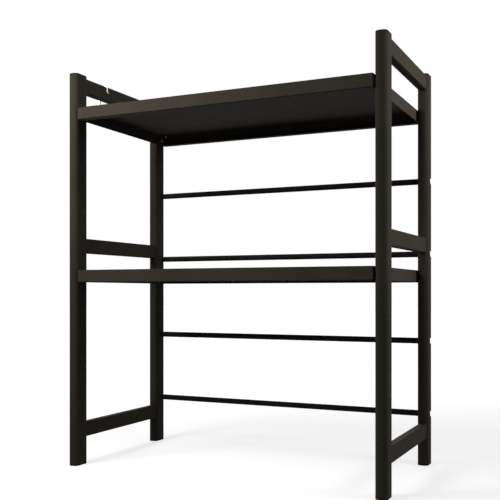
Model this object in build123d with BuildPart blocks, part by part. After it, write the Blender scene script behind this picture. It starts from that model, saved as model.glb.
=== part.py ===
from build123d import *

import os

# An open kitchen rack: four flat-oval posts, six coped side rails, two folded sheet shelves on spaced
# bolts, four round back bars and a hook that slides on a side rail. Millimetres, +Z up, front towards
# -Y, origin at the centre of the footprint on the floor.

os.makedirs("parts", exist_ok=True)

# Overall size, over the posts.
overall_width = 600.0
overall_depth = 310.0
overall_height = 720.0

# Post: a flat-sided oval steel tube.
post_width = 20.0
post_depth = 35.0
post_corner = 8.0
post_wall = 1.2

# Cap in the top of each post, and foot in the bottom: a rim over the tube's end, with two tongues that
# grip the tube's flat sides.
cap_rim = 2.0
cap_edge = 0.4
foot_rim = 2.5
tongue_depth = 14.0
tongue_wall = 1.8
tongue_gap = 0.1

# Side rails, coped round the backs of the posts.
rail_width = 15.0
rail_height = 27.0
rail_corner = 2.0
rail_wall = 1.2
top_rail_gap = 2.0
middle_rail_height = 404.5
bottom_rail_height = 63.0

# Shelves: one sheet each, folded down on all four sides, with a hem turned in at the front and the back.
# Each hangs a set distance under the rails of its level.
sheet = 1.0
fold_inside = 0.6
top_shelf_drop = 33.0
middle_shelf_drop = 32.0
shelf_side_gap = 1.5
flange_height = 22.5
hem_width = 14.0

# Shelf fixings: a hexagon-head screw through the shelf's side flange into a six-sided threaded insert,
# which is let into the post and stands proud of it to fill the gap between shelf and post.
screw_size = 5.0
screw_length = 16.0
screw_head_width = 8.0
screw_head_height = 3.5
screw_hole_play = 0.5
thread_play = 0.05
insert_width = 8.0
insert_length = 12.0
insert_play = 0.05

# Back bars: round tubes let into the backs of the rear posts, where they stop short of the outer faces.
bar_size = 11.0
bar_wall = 1.2
top_bar_height = 524.7
upper_bar_rise = 30.2
lower_bar_height = 227.7
bottom_bar_height = 92.3
bar_seat_depth = 15.0
bar_end_inset = 3.0

# Hook of flat strip, bent square over the top rail of the left side, with a flared tip on the inside and
# a lip that turns up on the outside.
strip_width = 3.5
strip = 1.5
hook_gap = 0.3
hook_from_post = 79.0
hook_tip_drop = 15.0
hook_flare = 3.0
hook_flare_rise = 4.0
hook_drop = 44.5
hook_mouth = 6.0
hook_inside = 2.5
hook_lip = 9.0

# Places that follow from the sizes above.
post_x = (overall_width - post_width) / 2
post_y = (overall_depth - post_depth) / 2
tube_bottom = foot_rim
tube_top = overall_height - cap_rim
inner_corner = post_corner - post_wall
rail_centres = {
    "top": tube_top - top_rail_gap - rail_height / 2,
    "middle": middle_rail_height,
    "bottom": bottom_rail_height,
}
shelf_tops = {
    "top": rail_centres["top"] - rail_height / 2 - top_shelf_drop,
    "middle": rail_centres["middle"] - rail_height / 2 - middle_shelf_drop,
}
shelf_width = overall_width - 2 * post_width - 2 * shelf_side_gap
shelf_depth = overall_depth
fold = fold_inside + sheet
flange_inner = shelf_width / 2 - sheet
post_inner_face = overall_width / 2 - post_width
bar_heights = {
    "top": top_bar_height,
    "upper": shelf_tops["middle"] + upper_bar_rise,
    "lower": lower_bar_height,
    "bottom": bottom_bar_height,
}
posts = {
    "left_front": (-post_x, -post_y),
    "right_front": (post_x, -post_y),
    "left_rear": (-post_x, post_y),
    "right_rear": (post_x, post_y),
}
screw_heights = {name: top - flange_height / 2 for name, top in shelf_tops.items()}

# Posts. The tube's inner face takes an insert at each shelf, and the rear posts are notched for the bars:
# the lower half of a notch follows the bar, and the upper half is square.
bar_axis_y = overall_depth / 2 - bar_seat_depth + bar_size / 2
for name, (x, y) in posts.items():
    inward = -1 if x > 0 else 1
    with BuildPart() as post:
        with BuildSketch(Plane.XY.offset(tube_bottom)):
            with Locations((x, y)):
                RectangleRounded(post_width, post_depth, post_corner)
                RectangleRounded(
                    post_width - 2 * post_wall, post_depth - 2 * post_wall, inner_corner, mode=Mode.SUBTRACT
                )
        extrude(amount=tube_top - tube_bottom)
        insert_plane = Plane((inward * -post_inner_face, y, 0), x_dir=(0, 1, 0), z_dir=(inward, 0, 0))
        with BuildSketch(insert_plane):
            with Locations(*[(0, inward * z) for z in screw_heights.values()]):
                RegularPolygon(insert_width / 2, 6, major_radius=False)
        extrude(amount=-2 * post_wall, mode=Mode.SUBTRACT)
        if y > 0:
            with BuildSketch(Plane.YZ.offset(x)):
                for z in bar_heights.values():
                    with Locations((bar_axis_y, z)):
                        Circle(bar_size / 2)
                        Rectangle(bar_size, bar_size, align=(Align.MIN, Align.CENTER))
                    with Locations((bar_axis_y - bar_size / 2, z)):
                        Rectangle(bar_size, bar_size / 2, align=(Align.MIN, Align.MIN))
            extrude(amount=post_width, both=True, mode=Mode.SUBTRACT)
    post.part.label = f"{name}_post"
    export_step(post.part, f"parts/{name}_post.step")

# Caps and feet.
tongue_x = post_width / 2 - post_wall - tongue_gap - tongue_wall / 2
tongue_length = post_depth - 2 * post_corner
for name, (x, y) in posts.items():
    for kind, seat_z, outward, rim in (("cap", tube_top, 1, cap_rim), ("foot", tube_bottom, -1, foot_rim)):
        with BuildPart() as plug:
            with BuildSketch(Plane.XY.offset(seat_z)):
                with Locations((x, y)):
                    RectangleRounded(post_width, post_depth, post_corner)
            extrude(amount=outward * rim)
            if kind == "cap":
                chamfer(plug.faces().sort_by(Axis.Z)[-1].edges(), min(cap_edge, cap_rim / 2))
            with BuildSketch(Plane.XY.offset(seat_z)):
                with Locations((x - tongue_x, y), (x + tongue_x, y)):
                    Rectangle(tongue_wall, tongue_length)
            extrude(amount=-outward * tongue_depth)
        plug.part.label = f"{name}_{kind}"
        export_step(plug.part, f"parts/{name}_{kind}.step")

# Rails: a tube from post centre to post centre, less the two posts' outlines.
for side, x in (("left", -post_x), ("right", post_x)):
    for level, z in rail_centres.items():
        with BuildPart() as rail:
            with BuildSketch(Plane.XZ):
                with Locations((x, z)):
                    RectangleRounded(rail_width, rail_height, rail_corner)
                    RectangleRounded(
                        rail_width - 2 * rail_wall,
                        rail_height - 2 * rail_wall,
                        rail_corner - rail_wall,
                        mode=Mode.SUBTRACT,
                    )
            extrude(amount=post_y, both=True)
            with BuildSketch(Plane.XY.offset(z)):
                with Locations((x, -post_y), (x, post_y)):
                    RectangleRounded(post_width, post_depth, post_corner)
            extrude(amount=rail_height, both=True, mode=Mode.SUBTRACT)
        rail.part.label = f"{side}_{level}_rail"
        export_step(rail.part, f"parts/{side}_{level}_rail.step")

# Shelves: a front-to-back profile with the hems, crossed by a side-to-side one. The folds stop short of
# one another at each corner, where the front and rear flanges run on past the ends of the side flanges.
edge_y = (shelf_depth - sheet) / 2
edge_x = (shelf_width - sheet) / 2
middle_radius = fold_inside + sheet / 2
for level, top in shelf_tops.items():
    face_z = top - sheet / 2
    lip_z = top - flange_height
    hem_z = lip_z + sheet / 2
    hem_y = shelf_depth / 2 - hem_width
    with BuildPart() as shelf:
        with BuildSketch(Plane.YZ):
            with BuildLine():
                FilletPolyline(
                    (-hem_y, hem_z),
                    (-edge_y, hem_z),
                    (-edge_y, face_z),
                    (edge_y, face_z),
                    (edge_y, hem_z),
                    (hem_y, hem_z),
                    radius=middle_radius,
                )
            trace(line_width=sheet)
        extrude(amount=shelf_width / 2 - fold, both=True)
        with BuildSketch(Plane.XZ):
            with BuildLine():
                FilletPolyline(
                    (-edge_x, lip_z),
                    (-edge_x, face_z),
                    (edge_x, face_z),
                    (edge_x, lip_z),
                    radius=middle_radius,
                )
            trace(line_width=sheet)
        extrude(amount=shelf_depth / 2 - fold, both=True)
        with BuildSketch(Plane.XZ.offset(shelf_depth / 2), Plane.XZ.offset(sheet - shelf_depth / 2)):
            with Locations((0, (lip_z + top) / 2)):
                Rectangle(shelf_width, flange_height - 2 * fold)
        extrude(amount=-sheet)
        with BuildSketch(Plane.YZ.offset(shelf_width / 2)):
            with Locations(*[(front * post_y, screw_heights[level]) for front in (-1, 1)]):
                Circle((screw_size + screw_hole_play) / 2)
        extrude(amount=-shelf_width, mode=Mode.SUBTRACT)
    shelf.part.label = f"{level}_shelf"
    export_step(shelf.part, f"parts/{level}_shelf.step")

# Fixings: one insert and one screw at each corner of each shelf.
corners = [(sx, sy * post_y, z) for z in screw_heights.values() for sy in (-1, 1) for sx in (-1, 1)]
with BuildPart() as inserts:
    for sx, y, z in corners:
        seat = Plane((sx * shelf_width / 2, y, z), x_dir=(0, 1, 0), z_dir=(sx, 0, 0))
        with BuildSketch(seat):
            RegularPolygon(insert_width / 2 - insert_play, 6, major_radius=False)
            Circle(screw_size / 2 + thread_play, mode=Mode.SUBTRACT)
        extrude(amount=shelf_side_gap + insert_length)
inserts.part.label = "shelf_inserts"
export_step(inserts.part, "parts/shelf_inserts.step")

with BuildPart() as screws:
    for sx, y, z in corners:
        seat = Plane((sx * flange_inner, y, z), x_dir=(0, 1, 0), z_dir=(sx, 0, 0))
        with BuildSketch(seat):
            RegularPolygon(screw_head_width / 2, 6, major_radius=False)
        extrude(amount=-screw_head_height)
        with BuildSketch(seat):
            Circle(screw_size / 2)
        extrude(amount=screw_length)
screws.part.label = "shelf_screws"
export_step(screws.part, "parts/shelf_screws.step")

# Back bars.
bar_length = overall_width - 2 * bar_end_inset
for level, z in bar_heights.items():
    with BuildPart() as bar:
        with BuildSketch(Plane.YZ):
            with Locations((bar_axis_y, z)):
                Circle(bar_size / 2)
                Circle(bar_size / 2 - bar_wall, mode=Mode.SUBTRACT)
        extrude(amount=bar_length / 2, both=True)
    bar.part.label = f"{level}_back_bar"
    export_step(bar.part, f"parts/{level}_back_bar.step")

# Hook: the strip's middle line, traced to its thickness and extruded to its width.
hook_y = hook_from_post - post_y
reach = rail_width / 2 + hook_gap + strip / 2
crown_z = rail_centres["top"] + rail_height / 2 + hook_gap + strip / 2
limb_in = reach - post_x
limb_out = -reach - post_x
lip_x = limb_out - hook_mouth - strip
shoulder = rail_corner + hook_gap + strip / 2
lower_bend = hook_inside + strip / 2
with BuildPart() as hook:
    with BuildSketch(Plane.XZ.offset(-hook_y)):
        with BuildLine():
            FilletPolyline(
                (limb_in + hook_flare, crown_z - hook_tip_drop),
                (limb_in, crown_z - hook_tip_drop + hook_flare_rise),
                (limb_in, crown_z),
                (limb_out, crown_z),
                (limb_out, crown_z - hook_drop),
                (lip_x, crown_z - hook_drop),
                (lip_x, crown_z - hook_drop + hook_lip),
                radius=(lower_bend, shoulder, shoulder, lower_bend, lower_bend),
            )
        trace(line_width=strip)
    extrude(amount=strip_width / 2, both=True)
hook.part.label = "s_hook"
export_step(hook.part, "parts/s_hook.step")
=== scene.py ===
import math

import bmesh
import bpy
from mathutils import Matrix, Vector


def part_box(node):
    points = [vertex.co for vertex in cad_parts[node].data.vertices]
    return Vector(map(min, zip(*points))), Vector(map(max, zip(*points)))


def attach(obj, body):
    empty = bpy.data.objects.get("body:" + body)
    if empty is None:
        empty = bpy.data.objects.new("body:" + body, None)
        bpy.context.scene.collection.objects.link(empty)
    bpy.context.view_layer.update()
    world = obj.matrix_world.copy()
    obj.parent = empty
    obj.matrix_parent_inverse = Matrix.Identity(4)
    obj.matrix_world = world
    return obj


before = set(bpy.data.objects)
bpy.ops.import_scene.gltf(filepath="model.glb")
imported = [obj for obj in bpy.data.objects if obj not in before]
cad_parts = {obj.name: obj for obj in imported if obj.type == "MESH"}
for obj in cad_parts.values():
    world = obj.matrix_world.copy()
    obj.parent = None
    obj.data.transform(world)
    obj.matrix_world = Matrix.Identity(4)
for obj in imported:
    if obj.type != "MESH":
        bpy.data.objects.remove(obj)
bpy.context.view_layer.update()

# ---- Node helpers --------------------------------------------------------------------------------


def adder(tree):
    """A function that adds a node to tree and sets its sockets and settings by name."""

    def add(kind, **values):
        node = tree.nodes.new(kind)
        for key, value in values.items():
            if key in node.inputs:
                node.inputs[key].default_value = value
            else:
                setattr(node, key, value)
        return node

    return add


def node_tree(name):
    """A new material with a Principled shader, and a helper that adds nodes to it."""
    mat = bpy.data.materials.new(name)
    mat.use_nodes = True
    tree = mat.node_tree
    return mat, tree, tree.nodes["Principled BSDF"], adder(tree)


def maths(tree, operation, one, two=None):
    """The result of a Math node, whose inputs are numbers or other nodes' outputs."""
    node = adder(tree)("ShaderNodeMath", operation=operation)
    for socket, value in zip(node.inputs, (one, two)):
        if isinstance(value, float):
            socket.default_value = value
        elif value is not None:
            tree.links.new(value, socket)
    return node.outputs["Value"]


def remap(tree, source, start, end, low=0.0, high=1.0, curve="LINEAR"):
    """Low to high, as source goes from start to end."""
    sockets = {"From Min": start, "From Max": end, "To Min": low, "To Max": high}
    node = adder(tree)("ShaderNodeMapRange", interpolation_type=curve, **sockets)
    tree.links.new(source, node.inputs["Value"])
    return node.outputs["Result"]


def ramp(tree, source, start, end, dark, light):
    """Dark to light, as source goes from start to end."""
    node = adder(tree)("ShaderNodeValToRGB")
    for stop, position, colour in zip(node.color_ramp.elements, (start, end), (dark, light)):
        stop.position = position
        stop.color = (*colour, 1)
    tree.links.new(source, node.inputs["Fac"])
    return node.outputs["Color"]


def noise(tree, place, scale, detail, roughness=0.5):
    """Noise from 0 to 1 over place."""
    node = adder(tree)("ShaderNodeTexNoise", Scale=scale, Detail=detail, Roughness=roughness)
    tree.links.new(place, node.inputs["Vector"])
    return node.outputs["Fac"]


def near_edge(tree, place, low, high, width):
    """1 along the edges of the box low to high, mirrored in x, falling to 0 at width from them."""
    full_share = 0.3
    split = adder(tree)("ShaderNodeSeparateXYZ")
    tree.links.new(place, split.inputs["Vector"])
    sideways = maths(tree, "ABSOLUTE", split.outputs["X"])
    inside = []
    for value, start, end in zip((sideways, split.outputs["Y"], split.outputs["Z"]), low, high):
        from_middle = maths(tree, "ABSOLUTE", maths(tree, "SUBTRACT", value, (start + end) / 2))
        inside.append(maths(tree, "SUBTRACT", (end - start) / 2, from_middle))
    # A point on the box is as far from an edge as the second of its three depths.
    lesser = maths(tree, "MINIMUM", inside[0], inside[1])
    greater = maths(tree, "MAXIMUM", inside[0], inside[1])
    second = maths(tree, "MAXIMUM", lesser, maths(tree, "MINIMUM", greater, inside[2]))
    return remap(tree, second, width, full_share * width, curve="SMOOTHSTEP")


# ---- Materials -----------------------------------------------------------------------------------

# Patches of tone, about a hand wide, run from dark to light between these levels of their noise.
patch_scale = 9.0
patch_range = (0.35, 0.68)
# Spots of wear, some six grains wide, run from the painted edge shade to rubbed bright between
# these.
spot_share = 0.16
spot_range = (0.60, 0.74)
rubbed = 2.2
# Painted shade comes in at the edges between these cosines of the softened normal's turn from the
# true one.
edge_turn = (0.995, 0.80)
gloss_spread = 0.08
grain_strength = 0.35


def coat(
    name, dark, light, edge_shade, rough, grain, height, specular, edge=0.0008, box=None, shade_band=0.0
):
    """A sprayed or moulded finish: a fine grain in the surface, slow changes of tone, finer ones of
    gloss, and softened edges, with painted shade along them and a few spots there rubbed bright by
    wear. With a box, painted shade darkens its edges over a band too."""
    mat, tree, shader, add = node_tree(name)
    link = tree.links.new
    place = add("ShaderNodeTexCoord").outputs["Object"]
    pebble = noise(tree, place, grain, detail=3.0, roughness=0.55)
    patches = noise(tree, place, patch_scale, detail=4.0)
    fine = noise(tree, place, grain * spot_share, detail=2.0, roughness=0.6)

    soft = add("ShaderNodeBevel", Radius=edge, samples=4)
    turn = add("ShaderNodeVectorMath", operation="DOT_PRODUCT")
    link(soft.outputs["Normal"], turn.inputs[0])
    link(add("ShaderNodeNewGeometry").outputs["True Normal"], turn.inputs[1])
    # Painted shade along the edges, where the softened normal turns from the true one.
    edge_shade_mask = remap(tree, turn.outputs["Value"], *edge_turn)
    # With a box, painted shade also darkens a band along its edges.
    if box:
        edge_shade_mask = maths(tree, "MAXIMUM", edge_shade_mask, near_edge(tree, place, *box, shade_band))

    # A colour mix takes its two colours at sockets 6 and 7 and gives the result at output 2.
    mixed = add("ShaderNodeMix", data_type="RGBA")
    link(edge_shade_mask, mixed.inputs["Factor"])
    link(ramp(tree, patches, *patch_range, dark, light), mixed.inputs[6])
    bright = [rubbed * channel for channel in light]
    # The edge colour is painted shade, with spots of wear rubbed bright in it.
    link(ramp(tree, fine, *spot_range, edge_shade, bright), mixed.inputs[7])
    link(mixed.outputs[2], shader.inputs["Base Color"])

    gloss = remap(tree, fine, 0.0, 1.0, rough - gloss_spread, rough + gloss_spread)
    link(gloss, shader.inputs["Roughness"])
    bump = add("ShaderNodeBump", Strength=grain_strength, Distance=height)
    link(pebble, bump.inputs["Height"])
    link(soft.outputs["Normal"], bump.inputs["Normal"])
    link(bump.outputs["Normal"], shader.inputs["Normal"])
    shader.inputs["Specular IOR Level"].default_value = specular
    return mat


def plated_metal(name, dark, light, rough, stretch):
    """Drawn, plated metal: fine streaks along its length and slight clouding of the plating."""
    streak_scale, cloud_scale, cloud_range = 900.0, 140.0, (0.3, 0.7)
    duller, shinier = 0.09, 0.07
    mat, tree, shader, add = node_tree(name)
    link = tree.links.new
    place = add("ShaderNodeTexCoord").outputs["Object"]
    mapping = add("ShaderNodeMapping", Scale=stretch)
    link(place, mapping.inputs["Vector"])
    streak = noise(tree, mapping.outputs["Vector"], streak_scale, detail=3.0)
    cloud = noise(tree, place, cloud_scale, detail=3.0)
    link(ramp(tree, cloud, *cloud_range, dark, light), shader.inputs["Base Color"])
    gloss = remap(tree, streak, 0.0, 1.0, rough - shinier, rough + duller)
    link(gloss, shader.inputs["Roughness"])
    bump = add("ShaderNodeBump", Strength=0.25, Distance=0.00005)
    link(streak, bump.inputs["Height"])
    link(bump.outputs["Normal"], shader.inputs["Normal"])
    shader.inputs["Metallic"].default_value = 1.0
    return mat


def shelf_box(level):
    """A shelf's box, told from its middle so that it mirrors in x."""
    low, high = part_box(f"{level}_shelf")
    return Vector((-high[0], low[1], low[2])), high


# Each coat's third colour is the painted shade along its edges.
tube_coat = coat(
    "tube_coat", (0.0225, 0.0196, 0.0142), (0.0290, 0.0254, 0.0188), (0.0050, 0.0043, 0.0032),
    rough=0.80, grain=900.0, height=0.00012, specular=0.05,
)
# Each rail coat also darkens a band along its rail's edges with painted shade.
rail_coats = {
    level: coat(
        f"{level}_rail_coat",
        (0.0228, 0.0194, 0.0142), (0.0294, 0.0252, 0.0188), (0.0110, 0.0094, 0.0070),
        rough=0.80, grain=900.0, height=0.00012, specular=0.05,
        box=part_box(f"right_{level}_rail"), shade_band=0.0020,
    )
    for level in ("top", "middle", "bottom")
}
# The back bars' coat is darker than the frame's: painted shade, for the shadow that things on the
# shelves cast on the back.
shaded_bar_coat = coat(
    "shaded_bar_coat", (0.0100, 0.0090, 0.0080), (0.0150, 0.0135, 0.0120), (0.0070, 0.0065, 0.0060),
    rough=0.80, grain=900.0, height=0.00010, specular=0.05,
)
# Each sheet coat also darkens a band along its shelf's edges with painted shade.
sheet_coats = {
    level: coat(
        f"{level}_sheet_coat",
        (0.0285, 0.0233, 0.0176), (0.0366, 0.0303, 0.0233), (0.0100, 0.0082, 0.0063),
        rough=0.78, grain=820.0, height=0.00014, specular=0.06,
        box=shelf_box(level), shade_band=0.0018,
    )
    for level in ("top", "middle")
}
cap_plastic = coat(
    "cap_plastic", (0.0032, 0.0029, 0.0024), (0.0048, 0.0044, 0.0037), (0.0020, 0.0018, 0.0016),
    rough=0.75, grain=1500.0, height=0.00008, specular=0.04, edge=0.0006,
)
zinc = plated_metal(
    "zinc", (0.46, 0.46, 0.44), (0.62, 0.62, 0.60), rough=0.38, stretch=(1.0, 1.0, 1.0)
)
bright_steel = plated_metal(
    "bright_steel", (0.62, 0.60, 0.56), (0.78, 0.76, 0.72), rough=0.24, stretch=(1.0, 1.0, 0.12)
)

for name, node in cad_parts.items():
    words = name.split("_")
    if words[-1] in ("cap", "foot"):
        finish = cap_plastic
    elif words[-1] == "shelf":
        finish = sheet_coats[words[0]]
    elif words[-1] in ("screws", "inserts"):
        finish = zinc
    elif words[-1] == "hook":
        finish = bright_steel
    elif words[-1] == "bar":
        finish = shaded_bar_coat
    elif words[-1] == "rail":
        finish = rail_coats[words[1]]
    else:
        finish = tube_coat
    if not node.material_slots:
        node.data.materials.append(finish)
    for slot in node.material_slots:
        slot.material = finish

# ---- Weld beads ----------------------------------------------------------------------------------

bead_radius = 0.0007
bead_sides = 6
bead_spacing = 0.0018
bead_sink = 0.0002
# Two waves make a bead's ripple: each a share of the radius, a turn a ring and a first turn.
bead_waves = ((0.10, 2.4, 0.0), (0.05, 0.9, 1.0))


def bead(mesh, path, closed):
    """A painted weld along path: a round bead whose thickness ripples along its run."""
    count = len(path)
    rings = []
    for i, point in enumerate(path):
        before = path[(i - 1) % count] if closed or i else point
        after = path[(i + 1) % count] if closed or i < count - 1 else point
        along = (after - before).normalized()
        across = along.orthogonal().normalized()
        if rings:
            across = (last - along * last.dot(along)).normalized()
        last = across
        other = along.cross(across)
        ripple = sum(share * math.sin(i * turn + first) for share, turn, first in bead_waves)
        size = bead_radius * (1.0 + ripple)
        ring = []
        for k in range(bead_sides):
            angle = 2 * math.pi * k / bead_sides
            outward = math.cos(angle) * across + math.sin(angle) * other
            ring.append(mesh.verts.new(point + size * outward))
        rings.append(ring)
    for i in range(count if closed else count - 1):
        one, two = rings[i], rings[(i + 1) % count]
        shift = 0
        if closed and i == count - 1:
            shift = min(range(bead_sides), key=lambda k: (one[0].co - two[k].co).length)
        for k in range(bead_sides):
            ahead = (k + 1) % bead_sides
            far, near = two[(ahead + shift) % bead_sides], two[(k + shift) % bead_sides]
            mesh.faces.new((one[k], one[ahead], far, near))
    if not closed:
        mesh.faces.new(rings[0])
        mesh.faces.new(list(reversed(rings[-1])))


def add_beads(name, mesh):
    """One object of weld beads, in the frame's coat and fixed to the rack."""
    bmesh.ops.recalc_face_normals(mesh, faces=mesh.faces)
    data = bpy.data.meshes.new(name)
    mesh.to_mesh(data)
    mesh.free()
    data.shade_smooth()
    data.materials.append(tube_coat)
    piece = bpy.data.objects.new(name, data)
    bpy.context.scene.collection.objects.link(piece)
    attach(piece, "rack")


def rounded_outline(half_x, half_z, corner):
    """Points round a rounded rectangle, with its straight sides divided at the beads' spacing."""
    corner_steps = 4
    outline = []
    for sx, sz, start in ((1, 1, 0), (-1, 1, 90), (-1, -1, 180), (1, -1, 270)):
        for step in range(corner_steps + 1):
            angle = math.radians(start + 90 / corner_steps * step)
            outline.append((
                sx * (half_x - corner) + corner * math.cos(angle),
                sz * (half_z - corner) + corner * math.sin(angle),
            ))
    dense = []
    for (x0, z0), (x1, z1) in zip(outline, outline[1:] + outline[:1]):
        parts = max(1, round(math.hypot(x1 - x0, z1 - z0) / bead_spacing))
        dense += [(x0 + (x1 - x0) * k / parts, z0 + (z1 - z0) * k / parts) for k in range(parts)]
    return dense


# Round both ends of each rail, where its outline meets the post's rounded face.
post_corner = 0.008
rail_corner = 0.002
rail_welds = bmesh.new()
for side in ("left", "right"):
    post_low, post_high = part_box(f"{side}_rear_post")
    post_flat = (post_high[0] - post_low[0]) / 2 - post_corner
    for level in ("top", "middle", "bottom"):
        low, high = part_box(f"{side}_{level}_rail")
        middle = Vector(((low[0] + high[0]) / 2, 0, (low[2] + high[2]) / 2))
        outline = rounded_outline((high[0] - low[0]) / 2, (high[2] - low[2]) / 2, rail_corner)
        for end in (-1, 1):
            path = []
            for x, z in outline:
                past_flat = max(0.0, abs(x) - post_flat)
                drop = post_corner - math.sqrt(post_corner**2 - past_flat**2)
                path.append(middle + Vector((x, end * (post_low[1] + drop + bead_sink), z)))
            bead(rail_welds, path, closed=True)
add_beads("rail_welds", rail_welds)

# Round the front and lower part of each back bar, where the notch follows it, on the post's flat
# inner face. The angles, in degrees, count from the back over the top.
weld_start = 160
weld_end = 290
weld_step = 10
bar_welds = bmesh.new()
for level in ("top", "upper", "lower", "bottom"):
    low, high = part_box(f"{level}_back_bar")
    bar_y, bar_z = (low[1] + high[1]) / 2, (low[2] + high[2]) / 2
    radius = (high[2] - low[2]) / 2
    for side, inner_face in (("left", 1), ("right", 0)):
        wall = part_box(f"{side}_rear_post")[inner_face][0]
        path = []
        for degrees in range(weld_start, weld_end + 1, weld_step):
            angle = math.radians(degrees)
            y, z = bar_y + radius * math.cos(angle), bar_z + radius * math.sin(angle)
            path.append(Vector((wall, y, z)))
        bead(bar_welds, path, closed=False)
add_beads("bar_welds", bar_welds)

# ---- Floor ---------------------------------------------------------------------------------------

floor_reach = 14.0
floor_tone = 0.40
# The floor's own white, for camera and reflections, grows from the near distance to the far one.
glow_near, glow_far = 0.5, 2.5
glow_low, glow_high = 0.68, 1.0

floor_mesh = bpy.data.meshes.new("floor")
floor_mesh.from_pydata(
    [(x * floor_reach, y * floor_reach, 0) for x, y in ((-1, -1), (1, -1), (1, 1), (-1, 1))],
    [],
    [(0, 1, 2, 3)],
)
floor = bpy.data.objects.new("floor", floor_mesh)
bpy.context.scene.collection.objects.link(floor)

floor_mat, tree, shader, add = node_tree("floor")
tree.nodes.remove(shader)
paper = add("ShaderNodeBsdfDiffuse", Color=(floor_tone, floor_tone, floor_tone, 1))
glow = add("ShaderNodeEmission", Color=(1, 1, 1, 1))
seen = add("ShaderNodeLightPath").outputs
away = add("ShaderNodeVectorMath", operation="LENGTH")
tree.links.new(add("ShaderNodeTexCoord").outputs["Object"], away.inputs[0])
fade = remap(tree, away.outputs["Value"], glow_near, glow_far, glow_low, glow_high)
direct = maths(tree, "MAXIMUM", seen["Is Camera Ray"], seen["Is Glossy Ray"])
tree.links.new(maths(tree, "MULTIPLY", direct, fade), glow.inputs["Strength"])
total = add("ShaderNodeAddShader")
tree.links.new(paper.outputs["BSDF"], total.inputs[0])
tree.links.new(glow.outputs["Emission"], total.inputs[1])
tree.links.new(total.outputs["Shader"], tree.nodes["Material Output"].inputs["Surface"])
floor_mesh.materials.append(floor_mat)

# ---- Backdrop and light --------------------------------------------------------------------------

# The sky gives a dim light, and is white to the camera, in reflections and through what is clear.
sky_strength = 0.19
world = bpy.data.worlds.new("studio")
bpy.context.scene.world = world
world.use_nodes = True
tree = world.node_tree
add = adder(tree)
sky = tree.nodes["Background"]
sky.inputs["Color"].default_value = (1.0, 1.0, 1.0, 1)
sky.inputs["Strength"].default_value = sky_strength
white = add("ShaderNodeBackground", Color=(1, 1, 1, 1))
seen = add("ShaderNodeLightPath").outputs
direct = maths(tree, "MAXIMUM", seen["Is Camera Ray"], seen["Is Glossy Ray"])
clear = maths(tree, "MAXIMUM", direct, seen["Is Transmission Ray"])
mix = add("ShaderNodeMixShader")
tree.links.new(clear, mix.inputs["Fac"])
tree.links.new(sky.outputs["Background"], mix.inputs[1])
tree.links.new(white.outputs["Background"], mix.inputs[2])
tree.links.new(mix.outputs["Shader"], tree.nodes["World Output"].inputs["Surface"])


def softbox(name, place, target, width, height, power, spread=180.0):
    """A rectangular lamp at place, facing target."""
    lamp = bpy.data.lights.new(name, "AREA")
    lamp.shape = "RECTANGLE"
    lamp.size = width
    lamp.size_y = height
    lamp.energy = power
    lamp.spread = math.radians(spread)
    box = bpy.data.objects.new(name, lamp)
    box.location = place
    ahead = Vector(target) - Vector(place)
    box.rotation_euler = ahead.to_track_quat("-Z", "Y").to_euler()
    bpy.context.scene.collection.objects.link(box)


softbox("key_box", (-0.42, -0.62, 0.86), (-0.2, -0.1, 0.55), 0.4, 0.4, 7.6)
softbox("right_box", (1.10, 0.0, 0.86), (0.3, 0, 0.76), 0.4, 0.4, 3.7, spread=105.0)
softbox("top_box", (0.1, -0.6, 2.4), (0, 0, 0.2), 1.6, 1.6, 8)
softbox("back_box", (-0.5, 1.6, 1.0), (0, 0, 0.35), 0.9, 0.9, 9)

# ---- Camera --------------------------------------------------------------------------------------

# The camera looks level, and the shift brings the part into the middle of the picture.
image_px = 500.0
focal_px = 810.8
sensor_mm = 36.0
camera_turn = 25.157
camera_data = bpy.data.cameras.new("camera")
camera_data.sensor_width = sensor_mm
camera_data.lens = focal_px * sensor_mm / image_px
camera_data.shift_x = -0.0006
camera_data.shift_y = 0.0844
camera = bpy.data.objects.new("camera", camera_data)
camera.location = (0.6368, -1.361, 0.3183)
camera.rotation_euler = (math.radians(90), 0, math.radians(camera_turn))
bpy.context.scene.collection.objects.link(camera)
bpy.context.scene.camera = camera

bpy.context.scene.view_settings.view_transform = "Standard"
